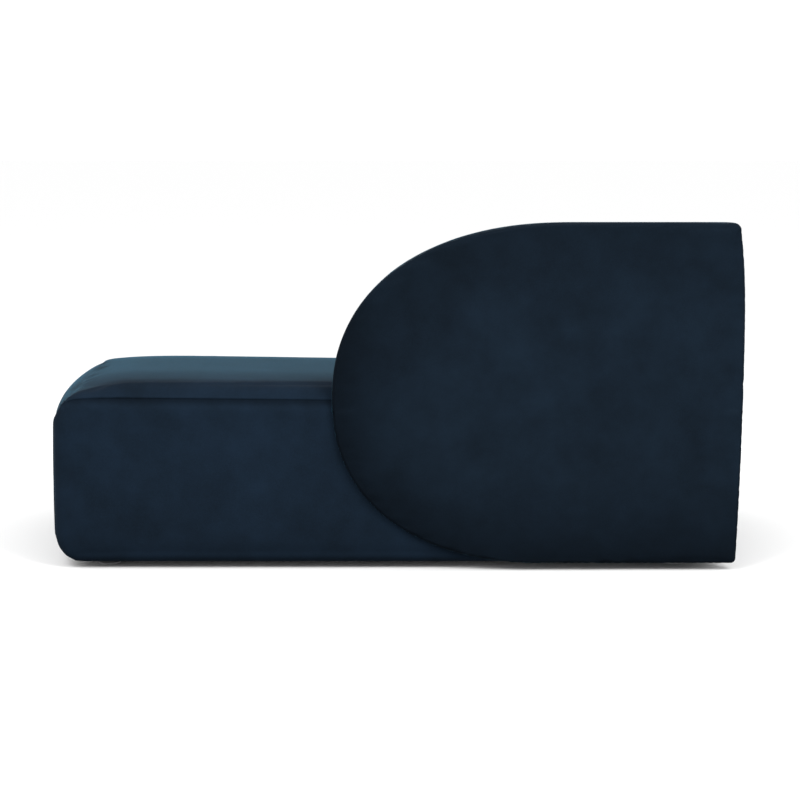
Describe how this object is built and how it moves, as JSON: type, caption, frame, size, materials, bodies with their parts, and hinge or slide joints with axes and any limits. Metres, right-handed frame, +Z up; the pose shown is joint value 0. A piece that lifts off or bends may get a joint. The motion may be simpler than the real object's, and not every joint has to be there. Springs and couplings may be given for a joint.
{
  "type": "daybed",
  "caption": "Long low padded seat block with a D-shaped padded back along one long side, on low hidden feet, all in dark velvet.",
  "frame": {"origin": "on the floor under the middle of the daybed's bounding box", "axes": "+X along the length towards the end with the back, +Y across the depth towards the open sitting side, +Z up; the back's outer face looks along -Y"},
  "size_m": [1.6799, 0.93, 0.839],
  "materials": {
    "velvet_seat": "navy cotton-blend velvet, short dense pile with a soft cool sheen at low angles",
    "velvet_back": "navy cotton-blend velvet, the same cloth as the seat",
    "lining_cloth": "black spun-bonded dust cloth, matte",
    "foam": "cream polyurethane foam, open cell, matte",
    "felt": "grey needled felt, matte",
    "plywood": "raw birch plywood, sanded",
    "pine": "raw sawn pine",
    "spring_steel": "oil-tempered spring wire, dark satin",
    "zinc_fasteners": "zinc-plated steel, satin",
    "foot_plastic": "black moulded polypropylene, fine matte texture"
  },
  "bodies": {
    "root": {"seat_top_cover": "velvet_seat", "seat_rear_cover": "velvet_seat", "seat_front_cover": "velvet_seat", "seat_foot_end_cover": "velvet_seat", "seat_head_end_cover": "velvet_seat", "back_outer_cover": "velvet_back", "back_rim_cover": "velvet_back", "back_sitting_cover": "velvet_back", "dust_cover": "lining_cloth", "back_sill_cover": "lining_cloth", "seat_core_foam": "foam", "seat_topper": "foam", "seat_rear_pad": "foam", "seat_front_pad": "foam", "seat_foot_end_pad": "foam", "seat_head_end_pad": "foam", "back_outer_foam": "foam", "back_sitting_foam": "foam", "back_rim_foam": "foam", "deck_felt": "felt", "foot_felt_pads": "felt", "seat_rear_rail": "plywood", "seat_front_rail": "plywood", "seat_foot_rail": "plywood", "seat_head_rail": "plywood", "back_outer_board": "plywood", "back_inner_board": "plywood", "back_rim_strip": "plywood", "seat_cross_rail_1": "pine", "seat_cross_rail_2": "pine", "corner_blocks": "pine", "back_head_post": "pine", "back_middle_post": "pine", "back_foot_post": "pine", "back_top_rail": "pine", "back_sill": "pine", "back_spacer_blocks": "pine", "sinuous_springs": "spring_steel", "spring_clips": "spring_steel", "spring_tie_wires": "spring_steel", "back_bolts": "zinc_fasteners", "back_bolt_washers": "zinc_fasteners", "back_tee_nuts": "zinc_fasteners", "back_board_screws": "zinc_fasteners", "corner_block_screws": "zinc_fasteners", "foot_studs": "zinc_fasteners", "foot_tee_nuts": "zinc_fasteners", "foot_glides": "foot_plastic"}
  },
  "joints": []
}
